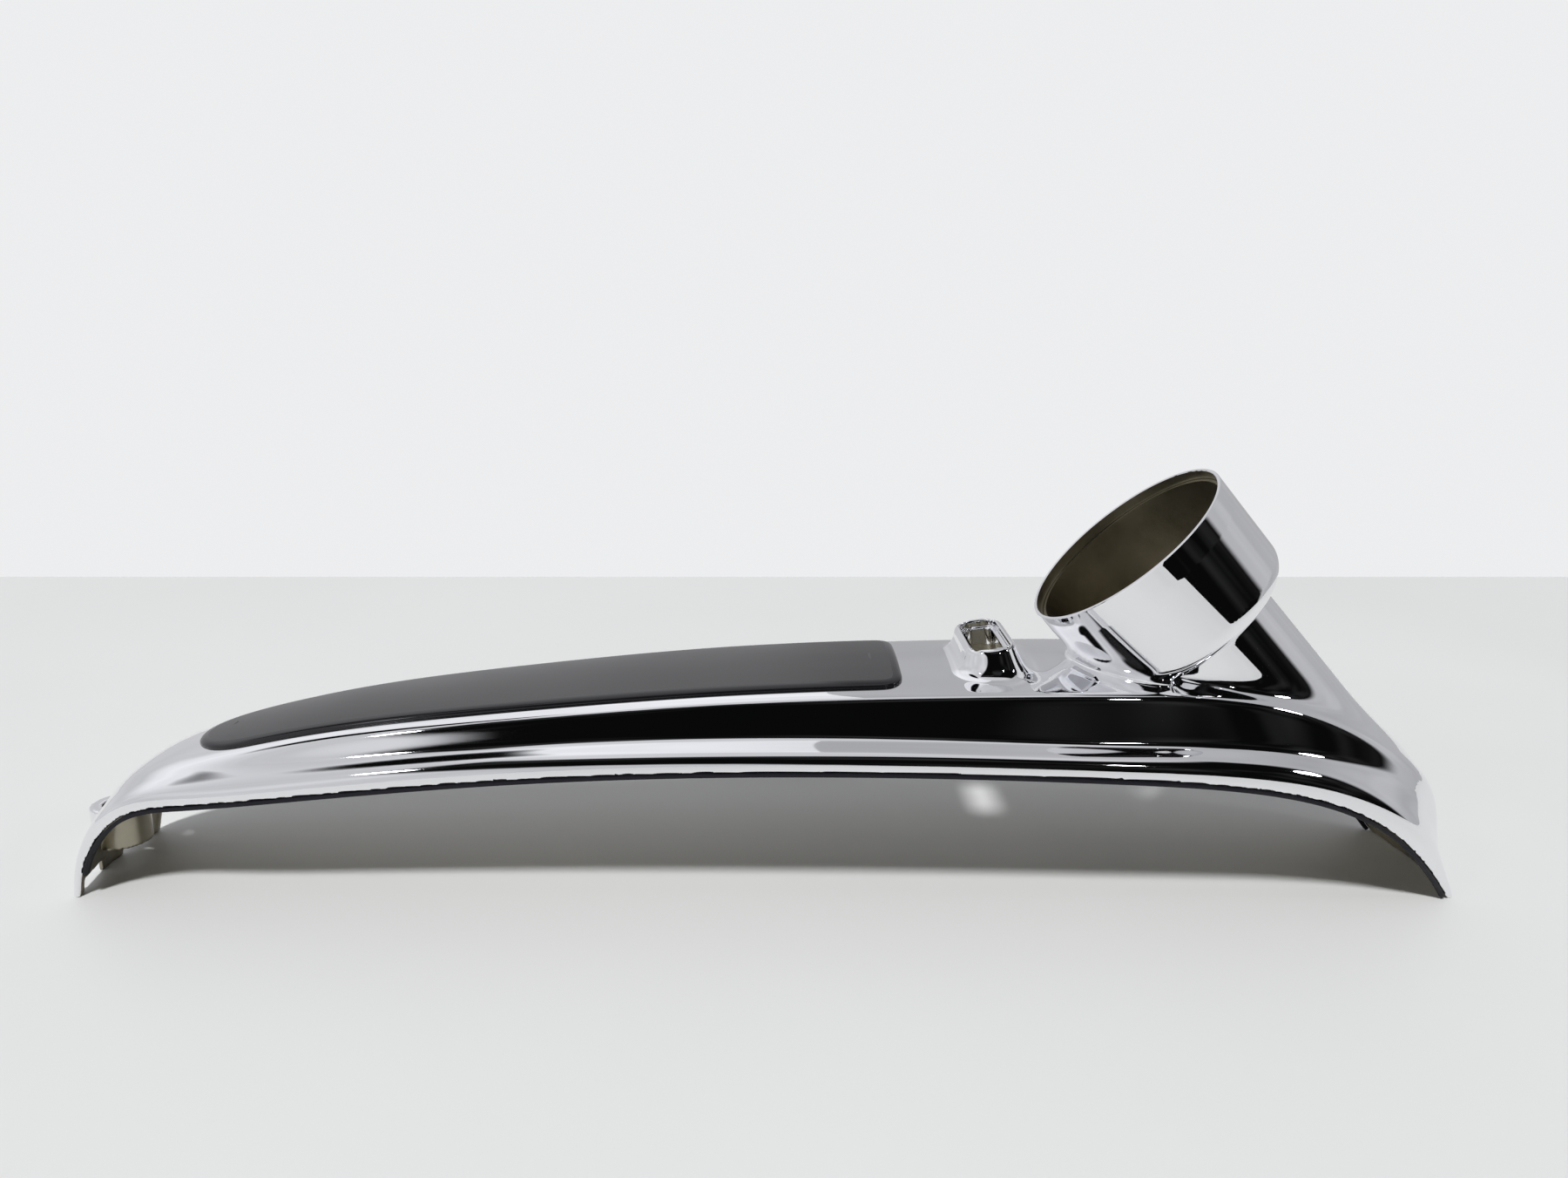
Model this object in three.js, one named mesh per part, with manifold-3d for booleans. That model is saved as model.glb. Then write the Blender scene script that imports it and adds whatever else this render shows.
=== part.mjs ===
// Fuel-tank dash console: a chrome-plated casting with an open gauge cup, an indicator-lamp boss and a
// tail lug, a raised dark inlay on its crown and a rubber trim along each lower edge.
// Millimetres. +X points to the nose, +Y to the left side, +Z up; z = 0 is the surface it rests on.
import * as THREE from 'three';
import { mergeVertices } from 'three/addons/utils/BufferGeometryUtils.js';
import Module from 'manifold-3d';

const wasm = await Module();
wasm.setup();

// ---- Driving dimensions ---------------------------------------------------------------------------
const WALL = 3.2; // casting thickness
const GAP = 0.3; // clearance between pieces that touch
const TRIM_HEIGHT = 1.9; // rubber strip under each lower edge
const TRIM_WIDTH = 3.6;
const TRIM_LOWEST = 11; // the strips start this high above the table

// The body is an arched hat section. Each station gives the lower edge (x, z), then half widths and
// heights above that edge, square to the arch: skirt corner, foot of the raised side, shoulder, crown.
const STATIONS = [
  { x: -320, z: -12, edge: 36, skirt: 5, foot: 30, footH: 6.2, shoulder: 23, shoulderH: 7.6, crown: 9.4 },
  { x: -317, z: 0, edge: 37, skirt: 5.2, foot: 31, footH: 6.6, shoulder: 24, shoulderH: 8.0, crown: 10 },
  { x: -314, z: 12, edge: 37.6, skirt: 5.8, foot: 31.5, footH: 7.6, shoulder: 24.5, shoulderH: 9.2, crown: 11.3 },
  { x: -306, z: 27, edge: 39, skirt: 6.6, foot: 32.6, footH: 9.2, shoulder: 25.4, shoulderH: 11, crown: 13 },
  { x: -291, z: 40.5, edge: 41.8, skirt: 7.6, foot: 35, footH: 11.2, shoulder: 27.5, shoulderH: 14, crown: 16.4 },
  { x: -262, z: 47.5, edge: 46, skirt: 8.2, foot: 39, footH: 13.2, shoulder: 31.5, shoulderH: 18, crown: 21.2 },
  { x: -203, z: 54.5, edge: 50.6, skirt: 8.6, foot: 43, footH: 14.8, shoulder: 36.5, shoulderH: 23.4, crown: 27.4 },
  { x: -120, z: 63.3, edge: 55.2, skirt: 9, foot: 47, footH: 15, shoulder: 40.8, shoulderH: 25.6, crown: 29.6 },
  { x: -20, z: 69, edge: 59.4, skirt: 9, foot: 50.4, footH: 14.4, shoulder: 43.3, shoulderH: 29, crown: 33 },
  { x: 80, z: 69.5, edge: 61.8, skirt: 9.2, foot: 53, footH: 14.2, shoulder: 46, shoulderH: 32.6, crown: 36 },
  { x: 160, z: 67.2, edge: 63, skirt: 9.6, foot: 54, footH: 14.6, shoulder: 46.5, shoulderH: 35.6, crown: 38.4 },
  { x: 215, z: 62.7, edge: 62, skirt: 10.6, foot: 52.4, footH: 17.4, shoulder: 44.5, shoulderH: 36.2, crown: 39 },
  { x: 250, z: 54.6, edge: 59, skirt: 11, foot: 49, footH: 19.6, shoulder: 40, shoulderH: 34, crown: 37.6 },
  { x: 278, z: 41, edge: 54.4, skirt: 10.6, foot: 43, footH: 20.6, shoulder: 33.4, shoulderH: 31.6, crown: 36 },
  { x: 298, z: 24, edge: 48, skirt: 10, foot: 37, footH: 17, shoulder: 26.4, shoulderH: 26.4, crown: 30.4 },
  { x: 316, z: 3, edge: 39.4, skirt: 6, foot: 30, footH: 7.8, shoulder: 20, shoulderH: 10.2, crown: 11.8 },
  { x: 325, z: -10, edge: 35, skirt: 4, foot: 26, footH: 5, shoulder: 17, shoulderH: 6, crown: 7 },
];
const STATION_KEYS = ['edge', 'skirt', 'foot', 'footH', 'shoulder', 'shoulderH', 'crown'];
const BODY_RINGS = 42;
const CORNER_STEPS = 3; // facets across each rounded corner of the section
const CROWN_STEPS = 4; // facets from the ridge to the shoulder

// Gauge cup: a tilted round bowl on a coaxial hollow neck.
const CUP_TILT = THREE.MathUtils.degToRad(41.6);
const RIM_CENTRE = new THREE.Vector3(169.1, 0, 162);
const CUP_OUTER_R = 51.6;
const CUP_DRAFT = 1.2; // the wall is this much smaller in radius at its foot
const CUP_BORE_R = 50;
const CUP_SEAT_R = 48.2; // below the shallow gauge seat
const CUP_SEAT_DEPTH = 5;
const CUP_FLOOR_DEPTH = 47.5;
const CUP_BOTTOM_DEPTH = 52.5;
const CUP_EDGE_R = 10;
const NECK_R = 36;
const NECK_INNER_R = 31;
const NECK_END_DEPTH = 158;
const WIRE_HOLE_R = 13;

// Indicator-lamp boss: a small tilted turret with an oblong window, long across the body.
const BOSS_TOP = new THREE.Vector3(105.7, 0, 118.2);
const BOSS_TILT = THREE.MathUtils.degToRad(8);
const WINDOW_HALF = [8.6, 25];
const WINDOW_LEDGE = 2;
const WINDOW_LEDGE_DEPTH = 4;

// Tail lug: a round ear with a vertical bolt hole.
const LUG_X = -316.6;
const LUG_R = 13.1;
const LUG_HOLE_R = 7.4;
const LUG_TOP = 32;
const LUG_BOTTOM = 12;
const LUG_SCREW_CLEARANCE_R = 8.6;
const END_NOTCH_INNER = 9; // the tail wall is cut short on each side of the lug
const END_NOTCH_OUTER = 30;
const END_NOTCH_HEIGHT = 6;

// Inlay on the crown, in a shallow pocket.
const INSERT_TAIL_X = -270;
const INSERT_NOSE_X = 64.7;
const INSERT_TAIL_HALF = 28;
const INSERT_NOSE_HALF = 36.6;
const INSERT_TAIL_ROUND = 34; // length over which the tail end rounds off
const INSERT_NOSE_ROUND = 9;
const INSERT_TOP = 2.2; // above the crown
const POCKET_DEPTH = 1.6;
const PAD_THICKNESS = 0.8;

// ---- Materials ------------------------------------------------------------------------------------
function chrome() {
  return new THREE.MeshStandardMaterial({ color: 0xd6d8de, roughness: 0.06, metalness: 1 });
}

function insertPlastic() {
  return new THREE.MeshStandardMaterial({ color: 0x2b2c2e, roughness: 0.38, metalness: 0 });
}

function rubber() {
  return new THREE.MeshStandardMaterial({ color: 0x15151a, roughness: 0.6, metalness: 0 });
}

function adhesive() {
  return new THREE.MeshStandardMaterial({ color: 0x3a3a3a, roughness: 0.9, metalness: 0 });
}

// ---- Geometry helpers -----------------------------------------------------------------------------
function toManifold(geometry) {
  const bare = geometry.clone();
  bare.deleteAttribute('normal');
  bare.deleteAttribute('uv');
  const merged = mergeVertices(bare, 1e-4);
  return new wasm.Manifold(new wasm.Mesh({
    numProp: 3,
    vertProperties: new Float32Array(merged.attributes.position.array),
    triVerts: new Uint32Array(merged.index.array),
  }));
}

function toGeometry(solid) {
  const mesh = solid.getMesh();
  const geometry = new THREE.BufferGeometry();
  geometry.setAttribute('position', new THREE.BufferAttribute(new Float32Array(mesh.vertProperties), 3));
  geometry.setIndex(new THREE.BufferAttribute(new Uint32Array(mesh.triVerts), 1));
  geometry.computeVertexNormals();
  return geometry;
}

function meshOf(name, solid, material) {
  const mesh = new THREE.Mesh(toGeometry(solid), material);
  mesh.name = name;
  return mesh;
}

// Triangles of a flat outline, wound the way its points run.
function capTriangles(outline) {
  const triangles = THREE.ShapeUtils.triangulateShape(outline, []);
  if (THREE.ShapeUtils.isClockWise(outline)) {
    return triangles.map(([a, b, c]) => [c, b, a]);
  }
  return triangles;
}

function signedVolume(positions, index) {
  const corner = (i) => new THREE.Vector3().fromArray(positions, 3 * index[i]);
  let volume = 0;
  for (let i = 0; i < index.length; i += 3) {
    volume += corner(i).dot(corner(i + 1).cross(corner(i + 2)));
  }
  return volume;
}

// A closed solid through rings of 3-D points; capOf gives a ring's flat outline for its end cap.
function loft(rings, capOf) {
  const count = rings[0].length;
  const positions = rings.flat().flatMap((point) => [point.x, point.y, point.z]);
  const index = [];
  for (let ring = 0; ring + 1 < rings.length; ring += 1) {
    for (let i = 0; i < count; i += 1) {
      const a = ring * count + i;
      const b = ring * count + ((i + 1) % count);
      index.push(a, b, b + count, a, b + count, a + count);
    }
  }
  const last = (rings.length - 1) * count;
  capTriangles(capOf(0)).forEach(([a, b, c]) => index.push(c, b, a));
  capTriangles(capOf(rings.length - 1)).forEach(([a, b, c]) => index.push(last + a, last + b, last + c));
  if (signedVolume(positions, index) < 0) {
    index.reverse();
  }
  const geometry = new THREE.BufferGeometry();
  geometry.setAttribute('position', new THREE.Float32BufferAttribute(positions, 3));
  geometry.setIndex(index);
  return toManifold(geometry);
}

function boxSolid(min, max) {
  const geometry = new THREE.BoxGeometry(max[0] - min[0], max[1] - min[1], max[2] - min[2]);
  geometry.translate((min[0] + max[0]) / 2, (min[1] + max[1]) / 2, (min[2] + max[2]) / 2);
  return toManifold(geometry);
}

function cylinderSolid(radius, x, zLow, zHigh) {
  const geometry = new THREE.CylinderGeometry(radius, radius, zHigh - zLow, 40);
  geometry.rotateX(Math.PI / 2);
  geometry.translate(x, 0, (zLow + zHigh) / 2);
  return toManifold(geometry);
}

// ---- The arched body ------------------------------------------------------------------------------
const archCurve = new THREE.CatmullRomCurve3(
  STATIONS.map((station) => new THREE.Vector3(station.x, 0, station.z)),
  false,
  'centripetal',
);

// Section sizes at curve parameter t, eased between the stations.
function sizesAt(t) {
  const place = Math.min(Math.max(t, 0), 1) * (STATIONS.length - 1);
  const low = Math.min(Math.floor(place), STATIONS.length - 2);
  const ease = place - low;
  const rows = [-1, 0, 1, 2].map((step) => STATIONS[Math.min(Math.max(low + step, 0), STATIONS.length - 1)]);
  const sizes = {};
  STATION_KEYS.forEach((key) => {
    const [p0, p1, p2, p3] = rows.map((row) => row[key]);
    const m1 = (p2 - p0) / 2;
    const m2 = (p3 - p1) / 2;
    const e2 = ease * ease;
    const e3 = e2 * ease;
    sizes[key] = (2 * e3 - 3 * e2 + 1) * p1 + (e3 - 2 * e2 + ease) * m1 + (3 * e2 - 2 * e3) * p2 + (e3 - e2) * m2;
  });
  return sizes;
}

// Places a section point (y, h) on the arch at t: h is square to the arch.
function onArch(t, y, h) {
  const point = archCurve.getPoint(t);
  const along = archCurve.getTangent(t);
  return new THREE.Vector3(point.x - along.z * h, y, point.z + along.x * h);
}

function roundCorner(before, corner, after, reach) {
  const start = corner.clone().add(before.clone().sub(corner).setLength(reach));
  const end = corner.clone().add(after.clone().sub(corner).setLength(reach));
  return new THREE.QuadraticBezierCurve(start, corner, end).getPoints(CORNER_STEPS);
}

// Height of the crown above the arch edge at half width y.
function crownHeight(sizes, y) {
  return sizes.crown - (sizes.crown - sizes.shoulderH) * (y / sizes.shoulder) ** 2;
}

// Half of the hat section, ridge to lower edge, drawn inwards by inset.
function halfSection(sizes, inset, bottom) {
  const shoulder = new THREE.Vector2(sizes.shoulder - 0.6 * inset, sizes.shoulderH - inset);
  const foot = new THREE.Vector2(sizes.foot - inset, sizes.footH - 0.9 * inset);
  const skirt = new THREE.Vector2(sizes.edge - inset, sizes.skirt - 0.7 * inset);
  const edge = new THREE.Vector2(sizes.edge - inset, bottom);
  const reach = Math.min(4.5, 0.42 * shoulder.distanceTo(foot), 0.42 * foot.distanceTo(skirt));
  const crownEnd = new THREE.Vector2(shoulder.x - reach, 0);
  crownEnd.y = crownHeight(sizes, crownEnd.x) - inset;
  const points = [];
  for (let i = 0; i < CROWN_STEPS; i += 1) {
    const y = (crownEnd.x * i) / CROWN_STEPS;
    points.push(new THREE.Vector2(y, crownHeight(sizes, y) - inset));
  }
  points.push(...roundCorner(crownEnd, shoulder, foot, reach));
  points.push(...roundCorner(shoulder, foot, skirt, reach));
  points.push(...roundCorner(foot, skirt, edge, Math.min(reach, 0.8 * (skirt.y - bottom))));
  points.push(edge);
  return points;
}

function fullSection(sizes, inset, bottom) {
  const half = halfSection(sizes, inset, bottom);
  const mirrored = half.slice(1).map((point) => new THREE.Vector2(-point.x, point.y)).reverse();
  return [...mirrored, ...half];
}

function bodySolid(inset, bottom) {
  const sections = [];
  for (let i = 0; i <= BODY_RINGS; i += 1) {
    sections.push(fullSection(sizesAt(i / BODY_RINGS), inset, bottom));
  }
  const rings = sections.map((section, i) => section.map((p) => onArch(i / BODY_RINGS, p.x, p.y)));
  return loft(rings, (ring) => sections[ring].map((p) => new THREE.Vector2(p.x, p.y)));
}

// ---- Gauge cup and neck ---------------------------------------------------------------------------
// A turned solid about the cup's axis; depth runs from the rim down into the body.
function turnedOnCupAxis(profile) {
  const geometry = new THREE.LatheGeometry(profile.map(([r, depth]) => new THREE.Vector2(r, -depth)), 48);
  geometry.rotateX(Math.PI / 2);
  geometry.rotateY(-CUP_TILT);
  geometry.translate(RIM_CENTRE.x, RIM_CENTRE.y, RIM_CENTRE.z);
  return toManifold(geometry);
}

function arcProfile(r, depth, radius, fromAngle, toAngle, steps) {
  const points = [];
  for (let i = 0; i <= steps; i += 1) {
    const angle = fromAngle + ((toAngle - fromAngle) * i) / steps;
    points.push([r + radius * Math.cos(angle), depth + radius * Math.sin(angle)]);
  }
  return points;
}

function bowlProfile() {
  const lip = 0.5;
  const footR = CUP_OUTER_R - CUP_DRAFT - CUP_EDGE_R;
  return [
    ...arcProfile(footR, CUP_BOTTOM_DEPTH - CUP_EDGE_R, CUP_EDGE_R, Math.PI / 2, 0, 6),
    [CUP_OUTER_R, lip],
    [CUP_OUTER_R - lip, 0],
    [0, 0],
  ];
}

function cupBowl() {
  return turnedOnCupAxis([[0, CUP_BOTTOM_DEPTH], ...bowlProfile()]);
}

function neckColumn() {
  const filletR = CUP_OUTER_R - CUP_DRAFT - CUP_EDGE_R - NECK_R;
  return turnedOnCupAxis([
    [0, NECK_END_DEPTH],
    [NECK_R, NECK_END_DEPTH],
    ...arcProfile(NECK_R + filletR, CUP_BOTTOM_DEPTH + filletR, filletR, Math.PI, 1.5 * Math.PI, 4),
    ...bowlProfile(),
  ]);
}

function cupBore() {
  const floorR = 5;
  return turnedOnCupAxis([
    [0, CUP_FLOOR_DEPTH],
    ...arcProfile(CUP_SEAT_R - floorR, CUP_FLOOR_DEPTH - floorR, floorR, Math.PI / 2, 0, 4),
    [CUP_SEAT_R, CUP_SEAT_DEPTH],
    [CUP_BORE_R, CUP_SEAT_DEPTH],
    [CUP_BORE_R, -5],
    [0, -5],
  ]);
}

function neckPassage() {
  const below = NECK_END_DEPTH + 10;
  return turnedOnCupAxis([
    [0, below],
    [NECK_INNER_R, below],
    [NECK_INNER_R, CUP_BOTTOM_DEPTH + 1],
    [WIRE_HOLE_R, CUP_BOTTOM_DEPTH + 1],
    [WIRE_HOLE_R, CUP_FLOOR_DEPTH - 1],
    [0, CUP_FLOOR_DEPTH - 1],
  ]);
}

// The free space under the arch, which the foot of the neck must not fill.
function underArch() {
  const steps = 24;
  const start = 0.3;
  const end = 0.93;
  const outline = new THREE.Shape();
  outline.moveTo(archCurve.getPoint(start).x, -60);
  for (let i = 0; i <= steps; i += 1) {
    const point = archCurve.getPoint(start + ((end - start) * i) / steps);
    outline.lineTo(point.x, point.z + 1);
  }
  outline.lineTo(archCurve.getPoint(end).x, -60);
  const halfWidth = 44;
  const geometry = new THREE.ExtrudeGeometry(outline, { depth: 2 * halfWidth, bevelEnabled: false });
  geometry.rotateX(Math.PI / 2);
  geometry.translate(0, halfWidth, 0);
  return toManifold(geometry);
}

// ---- Lamp boss ------------------------------------------------------------------------------------
function roundedRectangle(halfX, halfY, radius) {
  const corners = [[1, 1], [-1, 1], [-1, -1], [1, -1]];
  return corners.flatMap(([sx, sy], quarter) => {
    const points = [];
    for (let i = 0; i <= 5; i += 1) {
      const angle = (quarter + i / 5) * (Math.PI / 2);
      points.push(new THREE.Vector2(
        sx * (halfX - radius) + radius * Math.cos(angle),
        sy * (halfY - radius) + radius * Math.sin(angle),
      ));
    }
    return points;
  });
}

// Levels are [depth below the boss top, half X, half Y, corner radius], lowest first.
function bossLoft(levels) {
  const turn = new THREE.Matrix4().makeRotationY(-BOSS_TILT).setPosition(BOSS_TOP);
  const flat = levels.map(([, halfX, halfY, radius]) => roundedRectangle(halfX, halfY, radius));
  const rings = flat.map((outline, i) => outline
    .map((p) => new THREE.Vector3(p.x, p.y, -levels[i][0]).applyMatrix4(turn)));
  return loft(rings, (ring) => flat[ring]);
}

function lampBoss() {
  return bossLoft([
    [24, 18.5, 36, 15],
    [16.5, 17, 34.4, 14],
    [14, 15, 32.2, 12.5],
    [10, 13.4, 30.4, 11],
    [1.2, 11.6, 28.4, 9],
    [0, 10.6, 27.4, 8],
  ]);
}

function lampWindow() {
  const [halfX, halfY] = WINDOW_HALF;
  const inner = [halfX - WINDOW_LEDGE, halfY - WINDOW_LEDGE];
  const upper = bossLoft([[WINDOW_LEDGE_DEPTH, halfX, halfY, 5], [-5, halfX, halfY, 5]]);
  const lower = bossLoft([[40, inner[0], inner[1], 4], [WINDOW_LEDGE_DEPTH - 1, inner[0], inner[1], 4]]);
  return upper.add(lower);
}

// ---- Inlay, its pocket and its adhesive -----------------------------------------------------------
function insertHalfWidth(x) {
  const length = INSERT_NOSE_X - INSERT_TAIL_X;
  const fromTail = x - INSERT_TAIL_X;
  const fromNose = INSERT_NOSE_X - x;
  const taper = INSERT_TAIL_HALF + (INSERT_NOSE_HALF - INSERT_TAIL_HALF) * Math.sin((fromTail / length) * (Math.PI / 2));
  const tail = Math.min(fromTail / INSERT_TAIL_ROUND, 1);
  const nose = Math.min(fromNose / INSERT_NOSE_ROUND, 1);
  const tailRound = Math.sqrt(Math.max(1 - (1 - tail) ** 2.4, 0));
  const noseInset = INSERT_NOSE_ROUND * (1 - Math.sqrt(Math.max(1 - (1 - nose) ** 2, 0)));
  return Math.max(taper * tailRound - noseInset, 0.6);
}

// Arch parameter whose crown ridge lies at x.
function paramAtRidge(x) {
  let low = 0;
  let high = 1;
  for (let i = 0; i < 40; i += 1) {
    const middle = (low + high) / 2;
    if (onArch(middle, 0, sizesAt(middle).crown).x < x) {
      low = middle;
    } else {
      high = middle;
    }
  }
  return (low + high) / 2;
}

// A slab that follows the crown inside the inlay outline, between two heights above the crown.
function crownSlab(grow, low, high, edgeRound) {
  const rings = [];
  const flat = [];
  const steps = 26;
  const across = 8;
  for (let i = 0; i <= steps; i += 1) {
    const share = (1 - Math.cos((Math.PI * i) / steps)) / 2;
    const x = INSERT_TAIL_X + 0.4 + share * (INSERT_NOSE_X - INSERT_TAIL_X - 0.8);
    const stretched = x + grow * (2 * share - 1);
    const half = insertHalfWidth(x) + grow;
    const t = paramAtRidge(stretched);
    const sizes = sizesAt(t);
    const outline = [];
    for (let k = 0; k <= across; k += 1) {
      const y = half * (1 - (2 * k) / across);
      outline.push(new THREE.Vector2(y, crownHeight(sizes, y) + low));
    }
    for (let k = 0; k <= across; k += 1) {
      const y = half * ((2 * k) / across - 1);
      const drop = edgeRound * Math.abs((2 * k) / across - 1) ** 8;
      outline.push(new THREE.Vector2(y, crownHeight(sizes, y) + high - drop));
    }
    flat.push(outline);
    rings.push(outline.map((p) => onArch(t, p.x, p.y)));
  }
  return loft(rings, (ring) => flat[ring]);
}

// ---- Rubber trims ---------------------------------------------------------------------------------
// side is -1 for the right-hand edge, +1 for the left-hand edge.
function edgeTrim(side) {
  const rings = [];
  const flat = [];
  const steps = 44;
  const inset = (TRIM_WIDTH - WALL) / 2;
  for (let i = 0; i <= steps; i += 1) {
    const t = 0.02 + (0.96 * i) / steps;
    const sizes = sizesAt(t);
    const outer = sizes.edge + inset;
    const inner = outer - TRIM_WIDTH;
    const outline = [[outer, 0.4], [outer - 0.5, 0], [inner + 0.5, 0], [inner, 0.4], [inner, TRIM_HEIGHT], [outer, TRIM_HEIGHT]]
      .map(([y, h]) => new THREE.Vector2(side * y, h));
    flat.push(outline);
    rings.push(outline.map((p) => onArch(t, p.x, p.y)));
  }
  const strip = loft(rings, (ring) => flat[ring]);
  const keepTail = boxSolid([-400, -100, TRIM_LOWEST], [0, 100, 200]);
  const keepNose = boxSolid([0, -100, 0.4], [400, 100, 200]);
  return strip.intersect(keepTail.add(keepNose));
}

// ---- Assembly -------------------------------------------------------------------------------------
function consoleShell() {
  const metalBottom = TRIM_HEIGHT + GAP;
  const lug = cylinderSolid(LUG_R, LUG_X, LUG_BOTTOM, LUG_TOP);
  const outside = bodySolid(0, metalBottom).add(neckColumn()).add(lampBoss());
  const underside = bodySolid(WALL, -6).add(underArch()).subtract(cupBowl());
  const hollow = underside.add(neckPassage()).add(cupBore()).add(lampWindow());
  const screwSpace = cylinderSolid(LUG_SCREW_CLEARANCE_R, LUG_X, LUG_TOP, LUG_TOP + 60);
  const boltHole = cylinderSolid(LUG_HOLE_R, LUG_X, -20, LUG_TOP + 60);
  const pocket = crownSlab(GAP, -POCKET_DEPTH, 6, 0);
  const notches = boxSolid([-400, END_NOTCH_INNER, -1], [-300, END_NOTCH_OUTER, END_NOTCH_HEIGHT])
    .add(boxSolid([-400, -END_NOTCH_OUTER, -1], [-300, -END_NOTCH_INNER, END_NOTCH_HEIGHT]));
  const cuts = screwSpace.add(boltHole).add(pocket).add(notches);
  const casting = outside.subtract(hollow).add(lug).subtract(cuts);
  return casting.intersect(boxSolid([-500, -200, 0], [500, 200, 400]));
}

const padLow = -POCKET_DEPTH + GAP;
const padHigh = padLow + PAD_THICKNESS;
const console3d = new THREE.Group();
console3d.add(meshOf('console_shell', consoleShell(), chrome()));
console3d.add(meshOf('trim_insert', crownSlab(0, padHigh + GAP, INSERT_TOP, 1.3), insertPlastic()));
console3d.add(meshOf('insert_adhesive', crownSlab(-1.5, padLow, padHigh, 0), adhesive()));
console3d.add(meshOf('edge_trim_right', edgeTrim(-1), rubber()));
console3d.add(meshOf('edge_trim_left', edgeTrim(1), rubber()));

export default console3d;
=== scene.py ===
import math

import bmesh
import bpy
import numpy as np
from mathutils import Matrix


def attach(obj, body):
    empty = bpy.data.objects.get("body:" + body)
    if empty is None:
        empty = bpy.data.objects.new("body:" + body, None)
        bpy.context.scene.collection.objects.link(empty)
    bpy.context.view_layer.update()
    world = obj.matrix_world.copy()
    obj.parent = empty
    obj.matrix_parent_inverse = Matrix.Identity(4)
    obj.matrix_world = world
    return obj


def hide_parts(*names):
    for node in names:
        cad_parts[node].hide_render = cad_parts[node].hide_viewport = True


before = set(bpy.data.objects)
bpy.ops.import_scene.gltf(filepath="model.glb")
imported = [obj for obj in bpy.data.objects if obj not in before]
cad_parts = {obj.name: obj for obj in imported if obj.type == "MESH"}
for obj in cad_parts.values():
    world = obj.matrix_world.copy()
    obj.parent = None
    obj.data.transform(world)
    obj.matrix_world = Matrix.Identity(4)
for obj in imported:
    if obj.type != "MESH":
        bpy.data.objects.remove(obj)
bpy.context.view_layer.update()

# Looks for the dash console. The casting is one smooth surface found from a distance-like function
# in millimetres, in the row frame: an arched hat section, the gauge cup on its neck, the lamp boss
# and the tail lug. The inlay and the rubber edges are swept along the same arch.

MM = 0.001

# ---- Driving dimensions, as in the part ----------------------------------------------------------
WALL = 3.2
METAL_BOTTOM = 2.2  # the metal ends this far above the arch's lower edge line
# x, z of the lower edge, then edge, skirt, foot, foot height, shoulder, shoulder height, crown
STATIONS = np.array([
    (-320, -12, 36, 5, 30, 6.2, 23, 7.6, 9.4),
    (-317, 0, 37, 5.2, 31, 6.6, 24, 8.0, 10),
    (-314, 12, 37.6, 5.8, 31.5, 7.6, 24.5, 9.2, 11.3),
    (-306, 27, 39, 6.6, 32.6, 9.2, 25.4, 11, 13),
    (-291, 40.5, 41.8, 7.6, 35, 11.2, 27.5, 14, 16.4),
    (-262, 47.5, 46, 8.2, 39, 13.2, 31.5, 18, 21.2),
    (-203, 54.5, 50.6, 8.6, 43, 14.8, 36.5, 23.4, 27.4),
    (-120, 63.3, 55.2, 9, 47, 15, 40.8, 25.6, 29.6),
    (-20, 69, 59.4, 9, 50.4, 14.4, 43.3, 29, 33),
    (80, 69.5, 61.8, 9.2, 53, 14.2, 46, 32.6, 36),
    (160, 67.2, 63, 9.6, 54, 14.6, 46.5, 35.6, 38.4),
    (215, 62.7, 62, 10.6, 52.4, 17.4, 44.5, 36.2, 39),
    (250, 54.6, 59, 11, 49, 19.6, 40, 34, 37.6),
    (278, 41, 54.4, 10.6, 43, 20.6, 33.4, 31.6, 36),
    (298, 24, 48, 10, 37, 17, 26.4, 26.4, 30.4),
    (316, 3, 39.4, 6, 30, 7.8, 20, 10.2, 11.8),
    (325, -10, 35, 4, 26, 5, 17, 6, 7),
])

FLANGE_SPREAD = 1.165  # the flange is this many times as wide as its stations say
SHOULDER_BLEND = 4.5
FOOT_BEND = 2.0
FOOT_BLEND = 3.2
SKIRT_BLEND_SHARE = 0.75

CUP_TILT = math.radians(41.6)
RIM_CENTRE = np.array([169.1, 0.0, 162.0])
CUP_OUT = np.array([-math.sin(CUP_TILT), 0.0, math.cos(CUP_TILT)])  # out of the rim
CUP_OUTER_R = 51.6
CUP_DRAFT = 1.2 / 52.5  # the wall leans in by this much a millimetre of depth
CUP_BORE_R = 50.0
CUP_SEAT_R = 48.2
CUP_SEAT_DEPTH = 5.0
CUP_FLOOR_DEPTH = 47.5
CUP_BOTTOM_DEPTH = 52.5
CUP_WEB_DEPTH = 50  # middle of the floor that the wire hole goes through
CUP_WEB_REACH = 6
RIM_CUT_DEPTH = 12.0  # the lathe-turned rim is joined to the rest here
NECK_R = 36.0
NECK_INNER_R = 31.0
NECK_END_DEPTH = 158.0
NECK_START_DEPTH = 40.0
WIRE_HOLE_R = 13.0
CUP_EDGE_R = 10.0  # rounding round the cup's outer bottom
SEAT_EDGE_R = 5.0  # rounding round its floor inside

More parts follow.
